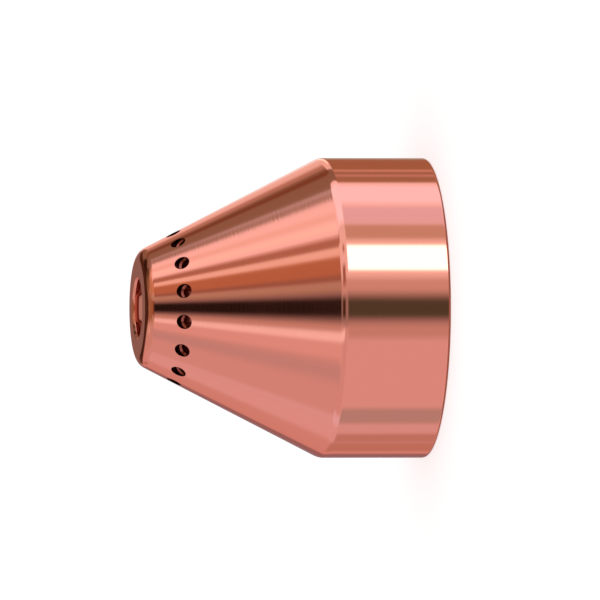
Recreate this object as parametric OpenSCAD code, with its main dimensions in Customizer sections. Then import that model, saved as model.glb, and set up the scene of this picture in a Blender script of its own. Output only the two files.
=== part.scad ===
// Shield for a plasma cutting torch, turned from one bar of copper.
// It stands on the open rim of its skirt with the nose up: z = 0 is the rim, z is the turning axis.

/* [Outside] */
// Outside diameter of the straight skirt
skirt_d = 28; // [27.2:0.1:34]
// Overall height, from the rim to the nose face
total_h = 27.2; // [24:0.1:34]
// Height of the straight skirt, up to the sharp corner where the cone starts
skirt_h = 10; // [8:0.1:12]
// Diameter at which the cone would meet the nose face if that edge were sharp
nose_d = 10.5; // [10:0.1:13]
// Radius that rounds the edge between the nose face and the cone
nose_round = 1.35; // [0.5:0.05:2.2]
// Radius that blends the cone into the skirt
shoulder_round = 1.75; // [0.5:0.05:4]
// Radius that rounds the outer edge of the rim
rim_round = 0.3; // [0.1:0.05:0.6]

/* [Orifice] */
// Diameter of the hole that the arc leaves by
orifice_d = 5.4; // [3:0.1:6.2]
// Chamfer on both edges of the orifice
orifice_edge = 0.2; // [0.05:0.01:0.3]

/* [Vent holes] */
// Number of vent holes in the ring behind the nose
vent_count = 15; // [6:1:18]
// Diameter of each vent hole, which meters the gas
vent_d = 0.95; // [0.6:0.05:1.1]
// Diameter of the counterbore that each vent opens in
vent_mouth_d = 1.35; // [1.2:0.05:1.6]
// Depth of the counterbore, along its axis from the cone's surface
vent_mouth_h = 0.42; // [0.38:0.01:0.8]
// Distance from the nose face back to the centre of each vent's mouth
vent_setback = 3.3; // [2.8:0.05:8]
// Angle that each vent, leaning forward, makes with the turning axis
vent_angle = 40; // [36:1:63]

/* [Wall] */
// Thickness of the cone's wall, measured square to its surface
cone_wall = 2; // [1.5:0.05:2.4]
// Thickness of the front wall, which is the length of the orifice
nose_wall = 1.3; // [1.1:0.05:2.4]
// Radius in the inner corner between the cone and the front wall
nose_inner_round = 0.4; // [0.2:0.05:0.5]

/* [Thread and seat] */
// Thickness of the skirt's wall behind the root of the internal thread
skirt_wall = 1.5; // [1.3:0.05:1.75]
// Pitch of the thread, which screws on to the torch's retaining cap
thread_pitch = 1; // [0.75:0.05:1.2]
// Length of full thread, between the lead-in and the relief groove
thread_h = 4.2; // [2:0.1:5]
// Height of the lead-in chamfer at the rim
lead_in_h = 0.9; // [0.6:0.05:1.2]
// Width of the relief groove that the thread runs out into
relief_h = 1.3; // [0.8:0.05:1.8]
// How far the groove's radius lies beyond the thread's root
relief_depth = 0.15; // [0.05:0.01:0.3]
// How far the pilot bore, which centres the shield on the cap, lies inside the thread's root
pilot_step = 0.7; // [0.7:0.05:1.2]
// Length of the pilot bore, from the groove to the seat
pilot_h = 1.6; // [1:0.1:2.4]
// Width of the seat, the flat ring between the pilot bore and the gas chamber
seat_w = 0.9; // [0.7:0.05:1.6]

/* [Hidden] */
copper = "#D98672";
$fn = 96;

// A cutting tool runs this far past the metal it removes.
past = 1;
// An internal thread of 60 degree form is this share of its pitch deep on the radius.
thread_share = 0.5413;

skirt_r = skirt_d / 2;
nose_r = nose_d / 2;
orifice_r = orifice_d / 2;
thread_major_r = skirt_r - skirt_wall;
pilot_r = thread_major_r - pilot_step;
chamber_r = pilot_r - seat_w;
thread_minor_r = thread_major_r - thread_share * thread_pitch;
relief_r = thread_major_r + relief_depth;

// The cone runs from the nose corner down to the skirt corner.
cone_angle = atan((skirt_r - nose_r) / (total_h - skirt_h));
function cone_outer_r(z) = nose_r + (total_h - z) * tan(cone_angle);
function cone_inner_r(z) = cone_outer_r(z) - cone_wall / cos(cone_angle);
function cone_inner_z(r) = total_h - (r + cone_wall / cos(cone_angle) - nose_r) / tan(cone_angle);

thread_top = lead_in_h + thread_h;
groove_ramp = relief_r - thread_minor_r;
groove_top = thread_top + relief_h;
seat_z = groove_top + pilot_h;
chamber_top = cone_inner_z(chamber_r);
front_wall_z = total_h - nose_wall;

// Corners of the outside, as [radius, height], from the axis at the rim round to the axis at the nose.
axis_foot = [0, 0];
rim_corner = [skirt_r, 0];
shoulder_corner = [skirt_r, skirt_h];
nose_corner = [nose_r, total_h];
axis_tip = [0, total_h];

// Corners of the front end of the gas chamber.
chamber_corner = [chamber_r, chamber_top];
inner_corner = [cone_inner_r(front_wall_z), front_wall_z];
orifice_corner = [orifice_r, front_wall_z];

function unit(v) = v / norm(v);

// A corner at b, between sides that run to a and to c, is rounded by an arc of radius r.
function half_angle(a, b, c) = acos(unit(a - b) * unit(c - b)) / 2;
function arc_reach(a, b, c, r) = r / tan(half_angle(a, b, c));
function arc_centre(a, b, c, r) = b + unit(unit(a - b) + unit(c - b)) * r / sin(half_angle(a, b, c));
function arc_start(a, b, c, r) = b + unit(a - b) * arc_reach(a, b, c, r);
function arc_end(a, b, c, r) = b + unit(c - b) * arc_reach(a, b, c, r);

// Points that stand for the corner in a profile: in to the arc's centre and out again.
function notch(a, b, c, r) = [arc_start(a, b, c, r), arc_centre(a, b, c, r), arc_end(a, b, c, r)];

// The slice of a disc that fills the notch, up to the arc.
module notch_fill(a, b, c, r) {
    centre = arc_centre(a, b, c, r);
    intersection() {
        translate(centre) circle(r);
        polygon([
            centre,
            centre + 2 * (arc_start(a, b, c, r) - centre),
            centre + 2 * (arc_end(a, b, c, r) - centre)
        ]);
    }
}

// Half section of the bar once its outside is turned, still solid to the axis.
module outside_section() {
    polygon(concat(
        [axis_foot],
        notch(axis_foot, rim_corner, shoulder_corner, rim_round),
        notch(rim_corner, shoulder_corner, nose_corner, shoulder_round),
        notch(shoulder_corner, nose_corner, axis_tip, nose_round),
        [axis_tip]
    ));
    notch_fill(axis_foot, rim_corner, shoulder_corner, rim_round);
    notch_fill(rim_corner, shoulder_corner, nose_corner, shoulder_round);
    notch_fill(shoulder_corner, nose_corner, axis_tip, nose_round);
}

// Half section of everything that is bored out along the axis, from the rim to the orifice.
module bored_section() {
    lead_in_slope = (relief_r - thread_minor_r) / lead_in_h;
    polygon(concat(
        [
            [0, -past],
            [relief_r + lead_in_slope * past, -past],
            [thread_minor_r, lead_in_h],
            [thread_minor_r, thread_top],
            [relief_r, thread_top + groove_ramp],
            [relief_r, groove_top],
            [pilot_r, groove_top],
            [pilot_r, seat_z],
            [chamber_r, seat_z],
            chamber_corner
        ],
        notch(chamber_corner, inner_corner, orifice_corner, nose_inner_round),
        [
            orifice_corner + [orifice_edge, 0],
            orifice_corner + [0, orifice_edge],
            [orifice_r, total_h - orifice_edge],
            [orifice_r + orifice_edge + past, total_h + past],
            [0, total_h + past]
        ]
    ));
    notch_fill(chamber_corner, inner_corner, orifice_corner, nose_inner_round);
}

// One stepped drill: the hole goes through the wall, and the wider counterbore stops inside it.
module vent_drill() {
    mouth_z = total_h - vent_setback;
    wall_along_drill = cone_wall / cos(90 - cone_angle - vent_angle);
    translate([cone_outer_r(mouth_z), 0, mouth_z])
        rotate([0, vent_angle, 0]) {
            translate([0, 0, -wall_along_drill - past])
                cylinder(d = vent_d, h = wall_along_drill + past);
            translate([0, 0, -vent_mouth_h])
                cylinder(d = vent_mouth_d, h = vent_mouth_h + past);
        }
}

module shield() {
    color(copper)
    difference() {
        rotate_extrude() difference() {
            outside_section();
            bored_section();
        }
        for (i = [0 : vent_count - 1])
            rotate([0, 0, i * 360 / vent_count]) vent_drill();
    }
}

shield();
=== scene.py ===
# %% [markdown]
# # A turned copper shield for a plasma torch
#
# The real object is one piece of copper. A lathe turns the skirt, the cone and the nose, bores the
# inside and cuts a thread in the skirt, and a drill then makes a ring of small vents behind the nose.
# This lesson makes it in the same order: a profile, one full turn of it, the thread and the drilled
# holes. A polished metal shows little but its surroundings, so half of the work is in the studio.

# %% Load the frame
import math

import bmesh
import bpy
from mathutils import Matrix, Vector


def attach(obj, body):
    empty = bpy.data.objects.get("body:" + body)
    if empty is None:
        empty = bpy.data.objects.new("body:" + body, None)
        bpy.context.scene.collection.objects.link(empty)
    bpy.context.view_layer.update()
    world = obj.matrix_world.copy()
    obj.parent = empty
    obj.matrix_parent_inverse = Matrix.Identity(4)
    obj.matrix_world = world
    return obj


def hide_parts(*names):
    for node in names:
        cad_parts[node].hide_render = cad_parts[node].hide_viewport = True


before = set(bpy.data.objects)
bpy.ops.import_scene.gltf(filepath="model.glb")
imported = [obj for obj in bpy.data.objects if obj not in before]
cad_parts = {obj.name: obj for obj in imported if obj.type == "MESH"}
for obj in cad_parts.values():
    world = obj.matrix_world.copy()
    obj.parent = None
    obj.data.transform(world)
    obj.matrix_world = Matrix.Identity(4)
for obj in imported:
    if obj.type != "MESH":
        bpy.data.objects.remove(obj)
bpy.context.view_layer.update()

# %% [markdown]
# ## Sizes
#
# The solid is the authority on size, so the numbers here repeat its named values. They are in
# millimetres, as on the turner's drawing, and one factor makes them metres. The cone's slope isn't a
# size of its own. It follows from the skirt, the nose and the length.

# %% Sizes in millimetres
MM = 0.001

SKIRT_R, SKIRT_H, TOTAL_H = 14.0, 10.0, 27.2
NOSE_R, NOSE_ROUND, SHOULDER_ROUND, RIM_ROUND = 5.25, 1.35, 1.75, 0.3
ORIFICE_R, ORIFICE_EDGE = 2.7, 0.2
COUNTERSINK_W, COUNTERSINK_H = 0.5, 0.7
VENTS, VENT_R, VENT_MOUTH_R, VENT_MOUTH_H = 15, 0.475, 0.675, 0.42
VENT_SETBACK, VENT_ANGLE = 3.3, math.radians(40)
CONE_WALL, NOSE_WALL, NOSE_INNER_ROUND = 2.0, 1.3, 0.4
PITCH, THREAD_ROOT_R, THREAD_H, LEAD_IN_H = 1.0, 12.5, 4.2, 0.9
RELIEF_H, RELIEF_R, PILOT_R, PILOT_H, CHAMBER_R = 1.3, 12.65, 11.8, 1.6, 10.9

THREAD_DEPTH = 0.5413 * PITCH
THREAD_CREST_R = THREAD_ROOT_R - THREAD_DEPTH
CONE_ANGLE = math.atan((SKIRT_R - NOSE_R) / (TOTAL_H - SKIRT_H))
THREAD_TOP = LEAD_IN_H + THREAD_H
GROOVE_TOP = THREAD_TOP + RELIEF_H
SEAT_Z = GROOVE_TOP + PILOT_H
FRONT_WALL_Z = TOTAL_H - NOSE_WALL
MOUTH_Z = TOTAL_H - VENT_SETBACK


def cone_r(z, inside=False):
    """Radius of the cone at height z, on its outer or its inner surface."""
    wall = CONE_WALL / math.cos(CONE_ANGLE) if inside else 0.0
    return NOSE_R + (TOTAL_H - z) * math.tan(CONE_ANGLE) - wall


CHAMBER_TOP = TOTAL_H - (CHAMBER_R - cone_r(TOTAL_H, True)) / math.tan(CONE_ANGLE)
print("cone half angle", round(math.degrees(CONE_ANGLE), 2), "chamber top", round(CHAMBER_TOP, 3))

# %% [markdown]
# ## The profile
#
# Half a section of the shield is a closed line of corners. No corner of a turned part is perfectly
# sharp, since the tool has a nose radius and the edges are broken by hand, and it is these small rounds
# that catch the light. Most corners therefore have a radius of their own. A vertex bevel would bend the
# same arc at every corner, but it only gives a true circle at a right angle, so the arc is drawn with
# the spin operator, as a pair of compasses would do it. Behind the orifice the edge is countersunk,
# because the photograph shows light from the back on a slope there. That slope isn't in the solid.

# %% Draw the profile
# Two more points on the cone, on either side of the vents, keep short the faces that the vents cut.
BAND_HALF = 0.95
BAND_LOW, BAND_TOP = MOUTH_Z - BAND_HALF, MOUTH_Z + BAND_HALF

CORNERS = [
    # radius, height, rounding, steps of the arc
    (SKIRT_R, 0.0, RIM_ROUND, 8),
    (SKIRT_R, SKIRT_H, SHOULDER_ROUND, 14),
    (cone_r(BAND_LOW), BAND_LOW, 0, 0),
    (cone_r(BAND_TOP), BAND_TOP, 0, 0),
    (NOSE_R, TOTAL_H, NOSE_ROUND, 24),
    (ORIFICE_R + ORIFICE_EDGE, TOTAL_H, 0.06, 4),
    (ORIFICE_R, TOTAL_H - ORIFICE_EDGE, 0.08, 4),
    (ORIFICE_R, FRONT_WALL_Z + COUNTERSINK_H, 0.05, 3),
    (ORIFICE_R + COUNTERSINK_W, FRONT_WALL_Z, 0.05, 3),
    (cone_r(FRONT_WALL_Z, True), FRONT_WALL_Z, NOSE_INNER_ROUND, 10),
    (CHAMBER_R, CHAMBER_TOP, 0.4, 5),
    (CHAMBER_R, SEAT_Z, 0.08, 3),
    (PILOT_R, SEAT_Z, 0.1, 3),
    (PILOT_R, GROOVE_TOP, 0.1, 3),
    (RELIEF_R, GROOVE_TOP, 0.12, 3),
    (RELIEF_R, THREAD_TOP + RELIEF_R - THREAD_CREST_R, 0.12, 3),
    (THREAD_CREST_R, THREAD_TOP, 0, 0),
    (THREAD_CREST_R, LEAD_IN_H, 0, 0),
    (RELIEF_R, 0.0, 0.06, 3),
]
SHOULDER, NOSE_EDGE = 1, 4


def arc_at(before, corner, after, radius):
    """Start, centre and sweep of the arc that rounds a corner, as points in the XZ plane."""
    back, ahead = (before - corner).normalized(), (after - corner).normalized()
    half = back.angle(ahead) / 2
    start = corner + back * radius / math.tan(half)
    centre = corner + (back + ahead).normalized() * radius / math.sin(half)
    sweep = math.pi - 2 * half
    if back.cross(ahead).y < 0:
        sweep = -sweep
    return start, centre, sweep


points = [Vector((r, 0, z)) * MM for r, z, _, _ in CORNERS]


def draw_profile(bm):
    """A closed line of edges through the corners, each rounded by its arc."""
    pieces = []
    for i, (_, _, radius, steps) in enumerate(CORNERS):
        if not radius:
            pieces.append((bm.verts.new(points[i]),) * 2)
            continue
        before, after = points[i - 1], points[(i + 1) % len(points)]
        start, centre, sweep = arc_at(before, points[i], after, radius * MM)
        first = bm.verts.new(start)
        made = bmesh.ops.spin(
            bm, geom=[first], cent=centre, axis=(0, 1, 0), angle=-sweep, steps=steps,
            dvec=(0, 0, 0), use_merge=False, use_duplicate=False,
        )
        last = next(v for v in made["geom_last"] if isinstance(v, bmesh.types.BMVert))
        pieces.append((first, last))
    for (_, last), (first, _) in zip(pieces, pieces[1:] + pieces[:1]):
        bm.edges.new((last, first))


bm = bmesh.new()
draw_profile(bm)
print("profile:", len(bm.verts), "vertices and", len(bm.edges), "edges")

# %% [markdown]
# ## One turn of the lathe
#
# The spin operator turns the line about the Z axis in 360 steps. A step of one degree puts a vertex
# column in the middle of every vent, because the vents are 24 degrees apart, and at this size each step
# is under 3 pixels long. Merging closes the seam, and the normals are recalculated since a spin can
# leave a shape inside out.

# %% Turn it
TURN_STEPS = 360
SAME_SPOT = 0.0005 * MM


def close_mesh(bm):
    """Merges what lies on the same spot, points every face outwards and checks that no edge is open."""
    bmesh.ops.remove_doubles(bm, verts=bm.verts[:], dist=SAME_SPOT)
    bmesh.ops.recalc_face_normals(bm, faces=bm.faces[:])
    open_edges = sum(1 for e in bm.edges if len(e.link_faces) != 2)
    assert open_edges == 0, f"{open_edges} open edges"


def to_object(bm, name):
    """A new object in the scene with the bmesh as its mesh."""
    mesh = bpy.data.meshes.new(name)
    bm.to_mesh(mesh)
    bm.free()
    obj = bpy.data.objects.new(name, mesh)
    bpy.context.scene.collection.objects.link(obj)
    return obj


bmesh.ops.spin(
    bm, geom=bm.verts[:] + bm.edges[:], cent=(0, 0, 0), axis=(0, 0, 1), angle=2 * math.pi,
    steps=TURN_STEPS, dvec=(0, 0, 0), use_merge=True, use_duplicate=False,
)
close_mesh(bm)
shield = to_object(bm, "copper_shield")
print("turned blank:", len(shield.data.polygons), "faces")

# %% [markdown]
# ## Two finishes and a painted shade
#
# Polishing reaches the outside and the orifice alone. The bored inside and the drilled holes stay satin,
# and the walls of the vents' counterbores get a near-black colour that paints the shade falling in them.
# A face keeps the number of its finish when it is cut, so the numbers are given before the cutting
# starts, and the look of each is made later.

# %% Number the finishes and the painted shade
# The third number marks the counterbore walls, whose near-black colour is painted shade.
POLISHED, SATIN, PAINTED_SHADE = 0, 1, 2
BORED_TOP = FRONT_WALL_Z + 0.01
WELL_INSIDE = 1.0

finishes_and_shade = [
    bpy.data.materials.new(name)
    for name in ("copper_turned_polished", "copper_bored_satin", "copper_counterbore_painted_shade")
]
for finish in finishes_and_shade:
    shield.data.materials.append(finish)
for face in shield.data.polygons:
    r, z = math.hypot(face.center.x, face.center.y) / MM, face.center.z / MM
    if z < BORED_TOP and r < min(SKIRT_R, cone_r(z)) - WELL_INSIDE:
        face.material_index = SATIN
bored = sum(1 for face in shield.data.polygons if face.material_index == SATIN)
print("bored faces:", bored)

# %% [markdown]
# ## Cutting tools
#
# A hole or a thread is what a tool takes away, so each is made as the shape of its tool and subtracted
# with an exact Boolean. The tool's object is removed afterwards, and the result becomes the mesh
# itself, so nothing stays live in the file.

# %% Subtract a tool
def cut(obj, tool):
    """Takes the tool's shape out of obj, with the finish or painted shade that each tool face leaves,
    and removes it.
    """
    for finish in finishes_and_shade:
        tool.data.materials.append(finish)
    modifier = obj.modifiers.new("cut", "BOOLEAN")
    modifier.operation, modifier.solver, modifier.object = "DIFFERENCE", "EXACT", tool
    graph = bpy.context.evaluated_depsgraph_get()
    result = bpy.data.meshes.new_from_object(obj.evaluated_get(graph))
    obj.modifiers.clear()
    old, obj.data = obj.data, result
    result.name = obj.name
    for mesh in (old, tool.data):
        bpy.data.meshes.remove(mesh)
    print(obj.name, "after a cut:", len(obj.data.polygons), "faces")


# %% [markdown]
# ## The thread
#
# The shield screws on to the torch by an internal thread of 60 degree form. Its groove is a trapezoid,
# wide at the bore and an eighth of the pitch wide at the root. Spinning the four corners with a step
# along the axis sweeps a helix, and capping its two ends makes it a solid. It starts in the air below
# the rim and ends in the relief groove, just as the turner's tool does, so the thread runs out cleanly
# at both ends. It is right-handed: going up, it turns with the angle.

# %% Cut the thread
THREAD_STEPS = 96
ROOT_HALF = PITCH / 16
FLANK = math.tan(math.radians(60 / 2))
OVERCUT = 0.12
RUN_OUT = 0.8

start_z, end_z = -PITCH, THREAD_TOP + RUN_OUT
turns = (end_z - start_z) / PITCH
steps = round(turns * THREAD_STEPS)
crest_half = ROOT_HALF + (THREAD_DEPTH + OVERCUT) * FLANK

bm = bmesh.new()
section = [
    bm.verts.new(Vector((r, 0, start_z + dz)) * MM)
    for r, dz in [
        (THREAD_CREST_R - OVERCUT, -crest_half), (THREAD_ROOT_R, -ROOT_HALF),
        (THREAD_ROOT_R, ROOT_HALF), (THREAD_CREST_R - OVERCUT, crest_half),
    ]
]
for i, v in enumerate(section):
    bm.edges.new((section[i - 1], v))
bmesh.ops.spin(
    bm, geom=bm.verts[:] + bm.edges[:], cent=(0, 0, 0), axis=(0, 0, 1), angle=2 * math.pi * turns,
    steps=steps, dvec=(0, 0, (end_z - start_z) * MM / steps), use_merge=False, use_duplicate=False,
)
bmesh.ops.holes_fill(bm, edges=bm.edges[:], sides=4)
close_mesh(bm)
for face in bm.faces:
    face.material_index = SATIN
cut(shield, to_object(bm, "thread_tool"))

# %% [markdown]
# ## The vents
#
# Fifteen vents lean forward, at 40 degrees to the axis. Each opens in a counterbore of 1.35 mm and
# goes on as a hole of 0.95 mm. The step between them has the 118 degrees of a drill's point, and it
# shows as a bright crescent. The stepped drill is a turned shape too: its profile is spun, leant over
# and moved to the mouth, and the other fourteen drills are turned copies of it. Because the drill
# leans, the counterbore is deep on the nose's side and shallow on the skirt's. The cut hands the
# drill's satin finish on to the shield, and on the counterbore's wall a near-black colour that paints
# the shade in it.

# %% Drill the vents
DRILL_SIDES = 64
DRILL_POINT = math.radians(118)
PAST_THE_WALL, PAST_THE_MOUTH = 0.7, 0.8

wall_along_drill = CONE_WALL / math.cos(math.pi / 2 - CONE_ANGLE - VENT_ANGLE)
tip = -wall_along_drill - PAST_THE_WALL
step_half = (VENT_MOUTH_R - VENT_R) / math.tan(DRILL_POINT / 2) / 2

bm = bmesh.new()
line = [
    bm.verts.new(Vector((r, 0, depth)) * MM)
    for r, depth in [
        (0, tip), (VENT_R, tip),
        (VENT_R, -VENT_MOUTH_H - step_half), (VENT_MOUTH_R, -VENT_MOUTH_H + step_half),
        (VENT_MOUTH_R, PAST_THE_MOUTH), (0, PAST_THE_MOUTH),
    ]
]
for a, b in zip(line, line[1:]):
    bm.edges.new((a, b))
bmesh.ops.spin(
    bm, geom=bm.verts[:] + bm.edges[:], cent=(0, 0, 0), axis=(0, 0, 1), angle=2 * math.pi,
    steps=DRILL_SIDES, dvec=(0, 0, 0), use_merge=True, use_duplicate=False,
)
close_mesh(bm)
# The counterbore's wall gets the near-black colour that paints the shade in it; the step and the hole
# beyond are satin.
for face in bm.faces:
    beyond_step = min(v.co.z for v in face.verts) < -VENT_MOUTH_H * MM
    face.material_index = SATIN if beyond_step else PAINTED_SHADE

mouth = Matrix.Translation(Vector((cone_r(MOUTH_Z), 0, MOUTH_Z)) * MM)
bmesh.ops.transform(bm, matrix=mouth @ Matrix.Rotation(VENT_ANGLE, 4, "Y"), verts=bm.verts[:])
first_drill = bm.verts[:] + bm.edges[:] + bm.faces[:]
for i in range(1, VENTS):
    made = bmesh.ops.duplicate(bm, geom=first_drill)["geom"]
    bmesh.ops.rotate(
        bm, cent=(0, 0, 0), matrix=Matrix.Rotation(2 * math.pi * i / VENTS, 3, "Z"),
        verts=[v for v in made if isinstance(v, bmesh.types.BMVert)],
    )
cut(shield, to_object(bm, "vent_drills"))

# %% [markdown]
# ## Smooth shading
#
# A mirror shows the smallest error in its normals. Faces are shaded smooth, with a hard line only
# where they meet at more than 30 degrees, as round each drilled hole. On the turned outside the true
# normal is known from the drawing: straight out on the skirt, square to the cone, straight up on the
# nose, and away from the centre of each arc. Setting it one by one keeps the long faces between the
# holes perfectly even.

# %% Set the outside's normals
CLOSE = 0.0005
SAME_WAY = 0.985      # the cosine of about 10 degrees

ARCS = []
for i in (SHOULDER, NOSE_EDGE):
    radius = CORNERS[i][2]
    _, centre, _ = arc_at(points[i - 1], points[i], points[i + 1], radius * MM)
    ARCS.append((points[i] / MM, centre / MM, radius))


def outside_normal(point):
    """The true normal of the turned outside at a point on it, or None if it isn't on the outside."""
    r, z = math.hypot(point.x, point.y) / MM, point.z / MM
    for corner, centre, radius in ARCS:
        away = Vector((r, 0, z)) - centre
        if abs(away.length - radius) < CLOSE and away.dot(corner - centre) > 0:
            return away.normalized()
    if abs(z - TOTAL_H) < CLOSE:
        return Vector((0, 0, 1))
    if abs(r - SKIRT_R) < CLOSE:
        return Vector((1, 0, 0))
    if abs(r - cone_r(z)) < CLOSE:
        return Vector((math.cos(CONE_ANGLE), 0, math.sin(CONE_ANGLE)))
    return None


mesh = shield.data
mesh.shade_smooth()
mesh.set_sharp_from_angle(angle=math.radians(30))
normals = [outside_normal(v.co) for v in mesh.vertices]
# A corner that is left at zero keeps Blender's own normal.
corner_normals = [Vector((0, 0, 0))] * len(mesh.loops)
known = 0
for face in mesh.polygons:
    for loop in face.loop_indices:
        v = mesh.vertices[mesh.loops[loop].vertex_index]
        normal = normals[v.index]
        if normal is None:
            continue
        turned = Matrix.Rotation(math.atan2(v.co.y, v.co.x), 3, "Z") @ normal
        if turned.dot(face.normal) > SAME_WAY:
            corner_normals[loop] = turned
            known += 1
mesh.normals_split_custom_set(corner_normals)
mesh.calc_loop_triangles()
print("triangles:", len(mesh.loop_triangles), "corners with a true normal:", known)

# %% [markdown]
# ## Nodes
#
# Every look here is a tree of nodes, the sky's too. One function turns the hex colours of a screen to
# the linear ones that light is worked out in, one empties a tree, and one adds a node with its links.

# %% Node helpers
def linear(hex_colour):
    """A linear colour from an sRGB hex value."""
    parts = [int(hex_colour[i : i + 2], 16) / 255 for i in (1, 3, 5)]
    return [c / 12.92 if c <= 0.04045 else ((c + 0.055) / 1.055) ** 2.4 for c in parts] + [1.0]


def empty_tree(owner):
    """The node tree of a material or a world, with nothing in it yet."""
    owner.use_nodes = True
    owner.node_tree.nodes.clear()
    return owner.node_tree


def add(tree, kind, settings=None, **inputs):
    """Adds a node with its settings. An input is a value, or an output of another node to link."""
    node = tree.nodes.new(kind)
    for name, value in (settings or {}).items():
        setattr(node, name, value)
    for name, value in inputs.items():
        numbered = name[0] == "i" and name[1:].isdigit()
        socket = node.inputs[int(name[1:]) if numbered else name.replace("_", " ")]
        if isinstance(value, bpy.types.NodeSocket):
            tree.links.new(value, socket)
        else:
            socket.default_value = value
    return node


# %% [markdown]
# ## Polished copper
#
# The shield is pure copper, turned with a fine feed and polished. Its colour comes only from what it
# reflects, tinted salmon, and a metal has no diffuse colour under that. Three things keep it from
# looking like a computer's mirror: a light haze from polishing, the turning marks that run round the
# axis, and a faint unevenness of the polish.

# %% The copper
tree = empty_tree(finishes_and_shade[POLISHED])
place = add(tree, "ShaderNodeTexCoord").outputs["Object"]
height = add(tree, "ShaderNodeSeparateXYZ", i0=place).outputs["Z"]
flat = add(tree, "ShaderNodeVectorMath", {"operation": "MULTIPLY"}, i0=place, i1=(1, 1, 0))
out = add(tree, "ShaderNodeVectorMath", {"operation": "LENGTH"}, i0=flat.outputs["Vector"])
# The tool's path along the surface: up the skirt and the cone, and in along the nose.
path = add(tree, "ShaderNodeMath", {"operation": "SUBTRACT"}, i0=height, i1=out.outputs["Value"])
# Feed marks are 0.05 mm apart on such a part and are drawn 0.28 mm apart so that they show.
feed = add(tree, "ShaderNodeTexNoise", {"noise_dimensions": "1D"}, W=path.outputs[0],
           Scale=1 / (0.28 * MM), Detail=3.0, Roughness=0.6)
marks = add(tree, "ShaderNodeBump", Strength=0.06, Distance=0.02 * MM, Height=feed.outputs["Fac"])
# The polish varies over patches of 4 mm.
patches = add(tree, "ShaderNodeTexNoise", Vector=place, Scale=1 / (4 * MM), Detail=2.0)
haze = add(tree, "ShaderNodeMapRange", Value=patches.outputs["Fac"], To_Min=0.06, To_Max=0.10)
# The tint keeps the grazing edges copper, where a plain mirror would turn white.
metal = add(tree, "ShaderNodeBsdfPrincipled", Base_Color=linear("#F6A290"), Metallic=1.0,
            Specular_Tint=linear("#FAD2C8"), Roughness=haze.outputs["Result"],
            Normal=marks.outputs["Normal"])
add(tree, "ShaderNodeOutputMaterial", Surface=metal.outputs[0])

# %% [markdown]
# ## Bored and drilled copper, and painted shade in the counterbores
#
# A boring tool or a drill leaves satin copper, darker than the polished outside: a vent's step shows as
# a soft crescent, and its hole is dark but for the light from behind. The counterbore's wall is given a
# nearly black, rough copper colour, which paints the shade in it, so each vent has a nearly black side.

# %% The bored copper and the counterbores' painted shade
# The second, nearly black colour paints the shade on the counterbore walls.
for finish, hex_colour, roughness in [(SATIN, "#A2594F", 0.2), (PAINTED_SHADE, "#3E211C", 0.35)]:
    tree = empty_tree(finishes_and_shade[finish])
    metal = add(tree, "ShaderNodeBsdfPrincipled", Base_Color=linear(hex_colour), Metallic=1.0,
                Roughness=roughness)
    add(tree, "ShaderNodeOutputMaterial", Surface=metal.outputs[0])
print("finishes:", [finish.name for finish in finishes_and_shade])

# %% Put it in the frame
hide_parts("shield")
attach(shield, "root")

# %% [markdown]
# ## The studio
#
# The photograph shows the shield on pure white, and the copper shows the studio: a large soft box on
# one side, a narrow light strip, a dark gap where the camera stands, and grey and brown card between
# them. These are painted on the sky by their direction, in degrees round from the camera and degrees
# above the floor, so each card can be moved by its numbers. Those and the colours were set from
# readings of what the copper in the photograph reflects and then by comparing renders with it. Only the
# copper sees the cards: the floor gets a plain soft light of about their level, which is quick to work
# out, and the camera sees plain white.

# %% Camera place
AZIMUTH, ELEVATION = math.radians(4.8), math.radians(9.9)
FROM_OBJECT = Vector((math.sin(AZIMUTH), -math.cos(AZIMUTH), 0))
TO_THE_RIGHT = Vector((math.cos(AZIMUTH), math.sin(AZIMUTH), 0))
BACK = FROM_OBJECT * math.cos(ELEVATION) + Vector((0, 0, math.sin(ELEVATION)))
UP = BACK.cross(TO_THE_RIGHT)

# %% Cards
# A later card covers the earlier ones. A lean moves a card round as it goes up, and a slope raises it as
# it goes round, each in degrees for one degree. A level above 1 is brighter than white paper.
PALE_ROOM = "#DBCACB"
ALL_ROUND = 181

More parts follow.
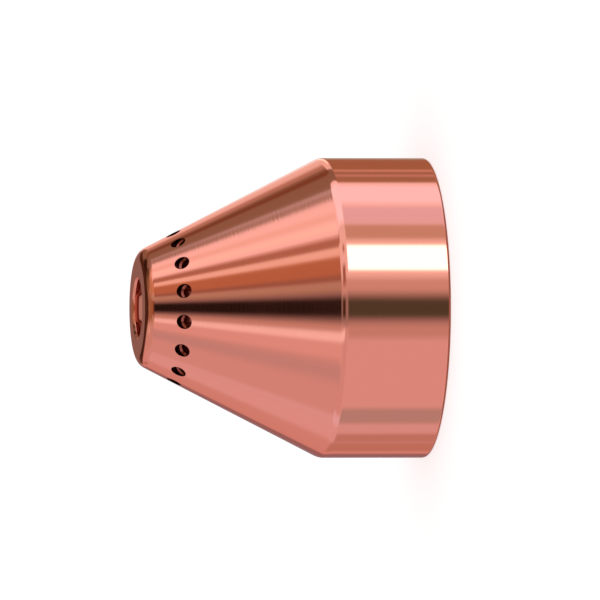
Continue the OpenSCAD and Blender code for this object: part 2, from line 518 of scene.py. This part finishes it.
CARDS = [
    # name, azimuth, half width, lean, lowest, highest, slope, soft edge, colour, level
    ("beige upper wall, left", -98, 62, 0, 42, 76, 0, 12, "#D4C2BA", 1.0),
    ("brown ceiling", 0, ALL_ROUND, 0, 74, 91, 0, 10, "#A68B6C", 1.0),
    ("pale cornice, left", -116, 26, 0, 62, 73, 0, 6, "#DFD8CD", 1.0),
    ("olive curtain, left", -37, 9, -1.0, 44, 74, 0, 10, "#CBBDA4", 1.0),
    ("pale low wall, left", -56, 36, 0, -90, 0, 0, 8, "#E3D4D7", 1.0),
    ("warm low wall, left", -129, 16, 0, -90, 2, 0, 8, "#C7B3AD", 1.0),
    ("light line, left", -127, 2, 0, -90, -7, 0, 3, "#CDBDBC", 1.0),
    ("pale panel, left", -112, 14, 0, -6, 26, 0, 8, "#E6DBE3", 1.0),
    ("foot of the pale panel", -107, 6.5, 0, -90, -4, 0, 6, "#E1D7DE", 1.0),
    ("blue strip, left", -97, 6, 0, -5, 25, 0, 7, "#ECECFF", 1.0),
    ("grey low wall, left", -92, 8, 0, -90, -5, 0, 7, "#BCBFBF", 1.0),
    ("red patch, left", -146, 8, 0, 13, 21, 0, 6, "#C2A8A8", 1.0),
    ("dim edge, left", -166, 13, 0, -90, 5, 0, 6, "#9E939B", 1.0),
    ("tan wall, right", 66, 32, 0, 38, 58, 0, 10, "#D4AF84", 1.0),
    ("tan upper wall, right", 76, 30, 0, 56, 74, 0, 10, "#C5A87E", 1.0),
    ("brown wall, right back", 135, 32, 0, 44, 74, 0, 12, "#907C5D", 1.0),
    ("dark olive, right back", 134, 28, 0, 44, 57, 0, 6, "#695D3F", 1.0),
    ("olive wall, right", 131, 32, 0, -90, 45, 0, 6, "#928772", 1.0),
    ("dark corner of the olive wall", 132, 3.5, 0, 4, 28, 0, 5, "#805F47", 1.0),
    ("lit edge of the olive wall", 105, 6, 0, -5, 36, 0, 12, "#A9A39A", 1.0),
    ("near black, right back", 152, 22, 0, 31, 50, 0, 8, "#382719", 1.0),
    ("warm wall by the gap", 17, 9, 0, -90, 38, 0, 6, "#D7C8C0", 1.0),
    ("white panel, right", 45, 22, 0, -90, 36, 0, 7, "#F9F9F7", 1.0),
    ("brown patch", 26, 8, 0, 9, 26, 0, 8, "#A6816F", 1.0),
    ("small brown patch", 47, 3, 0, 7, 18, 0, 5, "#BCA295", 1.0),
    ("olive shelf", 19, 6, 0, 36, 46, 0, 6, "#BFB5A2", 1.0),
    ("rust shelf", 36, 9.5, 0, 37, 46, 0, 5, "#BD8E6C", 1.0),
    ("shelf joint", 27, 3, 0, 36, 46, 0, 5, "#9E7C69", 1.0),
    ("white post", 51.5, 4, 0, 26, 43, 0, 4, "#FDF6EB", 1.0),
    ("rust post", 59.5, 4, 0, 28, 46, 0, 4, "#B5937E", 1.0),
    ("large soft box", 90.5, 24, 0, -40, 33, -0.7, 2, "#FAFAFF", 1.15),
    ("tan corner of the soft box", 85, 3.5, 0, 30, 52, 0, 7, "#FFF4E9", 1.0),
    ("bright corner of the soft box", 74.5, 3, 0, 31, 42, 0, 4, "#FAFAF5", 1.25),
    ("middle of the soft box", 90, 20, 0, -6, 22, 0, 6, "#D8EDFF", 1.6),
    ("right half of the soft box", 99, 10, 0, -90, -2, 0, 6, "#D9ECFF", 1.58),
    ("dim corner of the soft box", 76, 9, 0, -90, -6, 0, 6, "#ECEDFF", 1.04),
    ("warm foot of the soft box", 61, 6.5, 0, -90, -6, 0, 5, "#D1C5B5", 1.0),
    ("hard light", 39.3, 10, 0, -30, -7, 0, 4, "#FFFFFF", 3.6),
    ("grey corner, right back", 144, 4.5, 0, 4, 13, 0, 4, "#BCAEA0", 1.0),
    ("white sweep, right back", 155, 21, 0, -7.5, 6, 0, 4, "#F4FFFF", 1.08),
    ("bright line, right back", 157, 11, 0, -7, -3.5, 0, 2, "#FFFBF0", 2.0),
    ("brown low wall, right", 142, 29, 0, -90, -7.5, 0, 4, "#AA9376", 1.0),
    ("light streak", 123.5, 2, 0, -90, -7.5, 0, 3, "#C8B5AD", 1.0),
    ("second light streak", 132, 2, 0, -90, -7.5, 0, 3, "#D4C2B6", 1.0),
    ("pale edge, right", 173, 9, 0, -90, -7.5, 0, 4, "#BCC8BC", 1.0),
    ("brown corner, left back", -158, 10, 0, 62, 76, 0, 8, "#8B6950", 1.0),
    ("dark back", 180, 21, 0, 10, 76, 0, 7, "#4B3827", 1.0),
    ("grey behind", 180, 13, 0, 3, 15, 0, 6, "#928882", 1.0),
    ("brown ceiling, front", 0, 22, 0, 47, 91, 0, 12, "#92684A", 1.0),
    ("brown ceiling, front and high", 0, 48, 0, 63, 91, 0, 14, "#A2845D", 1.0),
    ("olive curtain, right", 31, 6, 0.8, 46, 72, 0, 8, "#C0BCA2", 1.0),
    ("warm edge of the gap", -17, 6, 0, -90, -5, 0, 8, "#CEBCB6", 1.0),
    ("grey strip in front", -2, 12, 0, -3, 44, 0, 9, "#A4A099", 1.0),
    ("gap at the camera", 0, 10, 0, -90, -1, 0, 12, "#535949", 1.0),
    ("lens", 0, 8, 0, 13, 31, 0, 7, "#4B3827", 1.0),
    ("above the camera", 0.5, 12, 0, 38, 52.5, 0, 14, "#1C110A", 1.0),
    ("brown floor", 0, ALL_ROUND, 0, -90, -36, 0, 12, "#A08478", 1.0),
    ("dim patch, left", -59, 8, 0, 26, 46, 0, 14, "#CBC2C5", 1.0),
    ("glow beside the light strip", -38, 9, 0, 26, 48, 0, 8, "#E7D4D4", 1.0),
    ("light strip", -23.8, 4.6, -0.23, 15, 45, 0, 6, "#F6FAFF", 1.15),
]

# %% The ray's two angles
world = bpy.data.worlds.new("studio")
bpy.context.scene.world = world
tree = empty_tree(world)
ray = add(tree, "ShaderNodeTexCoord").outputs["Generated"]
aside = add(tree, "ShaderNodeVectorMath", {"operation": "DOT_PRODUCT"}, i0=ray, i1=TO_THE_RIGHT)
ahead = add(tree, "ShaderNodeVectorMath", {"operation": "DOT_PRODUCT"}, i0=ray, i1=FROM_OBJECT)
above = add(tree, "ShaderNodeSeparateXYZ", i0=ray)
turn = add(tree, "ShaderNodeMath", {"operation": "ARCTAN2"}, i0=aside.outputs["Value"],
           i1=ahead.outputs["Value"])
rise = add(tree, "ShaderNodeMath", {"operation": "ARCSINE"}, i0=above.outputs["Z"])
radians = add(tree, "ShaderNodeCombineXYZ", X=turn.outputs[0], Y=rise.outputs[0])
angles = add(tree, "ShaderNodeVectorMath", {"operation": "SCALE"}, i0=radians.outputs[0],
             Scale=math.degrees(1)).outputs[0]
both = add(tree, "ShaderNodeSeparateXYZ", i0=angles)
swapped = add(tree, "ShaderNodeCombineXYZ", X=both.outputs["Y"], Y=both.outputs["X"]).outputs[0]


# %% Paint the cards on the sky
def window(seen_from, middle, half, soft):
    """1 within half of the middle, both ways, falling smoothly to 0 over the soft edges."""
    off = add(tree, "ShaderNodeVectorMath", {"operation": "SUBTRACT"}, i0=seen_from, i1=middle)
    near = add(tree, "ShaderNodeVectorMath", {"operation": "WRAP"}, i0=off.outputs[0],
               i1=(180, 180, 180), i2=(-180, -180, -180))
    away = add(tree, "ShaderNodeVectorMath", {"operation": "ABSOLUTE"}, i0=near.outputs[0])
    edges = {"data_type": "FLOAT_VECTOR", "interpolation_type": "SMOOTHSTEP"}
    inside = add(tree, "ShaderNodeMapRange", edges, Vector=away.outputs[0],
                 i7=[h - soft / 2 for h in half], i8=[h + soft / 2 for h in half],
                 i9=(1, 1, 1), i10=(0, 0, 0))
    ways = add(tree, "ShaderNodeSeparateXYZ", i0=inside.outputs["Vector"])
    share = add(tree, "ShaderNodeMath", {"operation": "MULTIPLY"}, i0=ways.outputs["X"],
                i1=ways.outputs["Y"])
    return share.outputs[0]


seen = linear(PALE_ROOM)
for name, azimuth, half, lean, low, high, slope, soft, colour, level in CARDS:
    middle = (low + high) / 2
    seen_from = angles
    if lean or slope:
        slant = add(tree, "ShaderNodeVectorMath", {"operation": "MULTIPLY_ADD"}, i0=swapped,
                    i1=(lean, slope, 0), i2=(-middle * lean, -azimuth * slope, 0))
        seen_from = add(tree, "ShaderNodeVectorMath", {"operation": "SUBTRACT"}, i0=angles,
                        i1=slant.outputs[0]).outputs[0]
    mask = window(seen_from, (azimuth, middle, 0), (half, (high - low) / 2, 180), soft)
    tint = [c * level for c in linear(colour)[:3]] + [1.0]
    seen = add(tree, "ShaderNodeMix", {"data_type": "RGBA", "label": name}, i0=mask, i6=seen,
               i7=tint).outputs[2]
print("cards:", len(CARDS))

# %% Share out the sky
cards = add(tree, "ShaderNodeBackground", Color=seen)
white = add(tree, "ShaderNodeBackground", Color=(1, 1, 1, 1))
soft_light = add(tree, "ShaderNodeBackground", Color=linear("#D0D0D0"))
light_path = add(tree, "ShaderNodeLightPath")
plain = add(tree, "ShaderNodeMixShader", i0=light_path.outputs["Is Camera Ray"],
            i1=soft_light.outputs[0], i2=white.outputs[0])
sky = add(tree, "ShaderNodeMixShader", i0=light_path.outputs["Is Glossy Ray"],
          i1=plain.outputs[0], i2=cards.outputs[0])
add(tree, "ShaderNodeOutputWorld", Surface=sky.outputs[0])
print("nodes in the sky:", len(tree.nodes))

# %% [markdown]
# ## The floor
#
# The shield stands on its open rim, nose up. The floor is plain and pale: the white that the camera
# sees is partly its own, so it stays clean, and the shield's soft shadow still falls on it. It isn't
# seen in the copper, whose lower reflections are the cards below the horizon.

# %% Floor
bm = bmesh.new()
bmesh.ops.create_grid(bm, x_segments=1, y_segments=1, size=2.0)
floor = to_object(bm, "floor")
floor.visible_glossy = False

paper = bpy.data.materials.new("white_paper")
tree = empty_tree(paper)
matt = add(tree, "ShaderNodeBsdfDiffuse", Color=linear("#E8E8E8"))
glow = add(tree, "ShaderNodeEmission", Color=(1, 1, 1, 1), Strength=0.55)
bright = add(tree, "ShaderNodeAddShader", i0=matt.outputs[0], i1=glow.outputs[0])
light_path = add(tree, "ShaderNodeLightPath")
shown = add(tree, "ShaderNodeMixShader", i0=light_path.outputs["Is Camera Ray"],
            i1=matt.outputs[0], i2=bright.outputs[0])
add(tree, "ShaderNodeOutputMaterial", Surface=shown.outputs[0])
floor.data.materials.append(paper)
print("floor:", [round(side, 2) for side in floor.dimensions], "m")

# %% [markdown]
# ## A grey card inside the rim
#
# The photographed shield lies down, and a dim room shows through its open back and lights the orifice.
# Here it stands on the floor, so a grey card just inside the rim gives it that light.

# %% Grey card
CARD_R, CARD_Z = THREAD_CREST_R - 0.5, 0.05

bm = bmesh.new()
bmesh.ops.create_circle(bm, cap_ends=True, segments=64, radius=CARD_R * MM)
bmesh.ops.translate(bm, vec=(0, 0, CARD_Z * MM), verts=bm.verts[:])
card = to_object(bm, "rim_card")

grey = bpy.data.materials.new("grey_card")
tree = empty_tree(grey)
dim = add(tree, "ShaderNodeEmission", Color=linear("#BBB5AC"), Strength=1.0)
add(tree, "ShaderNodeOutputMaterial", Surface=dim.outputs[0])
card.data.materials.append(grey)
print("grey card:", round(2 * CARD_R, 1), "mm across")

# %% [markdown]
# ## The camera
#
# The photograph looks nearly square at the side of the shield, 9.9 degrees down on its nose, from far
# away, and its picture is turned so that the axis lies level and the nose points left. A long lens from
# 1.6 m away gives the same flat perspective. The shot is framed by one point of the photograph, where
# the axis meets the rim.

# %% Camera
PICTURE = 600                            # pixels across the photograph
RIM_X, AXIS_Y = 424.4, 307.9             # the pixel where its axis meets the rim
DISTANCE, SCALE = 1.6, 0.09344 * MM      # metres, and metres for one pixel at the shield
SENSOR = 36.0                            # millimetres

camera_data = bpy.data.cameras.new("camera")
camera_data.sensor_width = SENSOR
camera_data.lens = SENSOR * DISTANCE / (PICTURE * SCALE)
camera_data.clip_start, camera_data.clip_end = 0.1, 10.0
camera = bpy.data.objects.new("camera", camera_data)
bpy.context.scene.collection.objects.link(camera)
left, down = (RIM_X - PICTURE / 2) * SCALE, (AXIS_Y - PICTURE / 2) * SCALE
target = UP * left + TO_THE_RIGHT * down
turned = Matrix((-UP, TO_THE_RIGHT, BACK)).transposed()
camera.matrix_world = Matrix.Translation(target + BACK * DISTANCE) @ turned.to_4x4()
bpy.context.scene.camera = camera
bpy.context.scene.view_settings.view_transform = "Standard"
print("lens", round(camera_data.lens), "mm at", DISTANCE, "m")
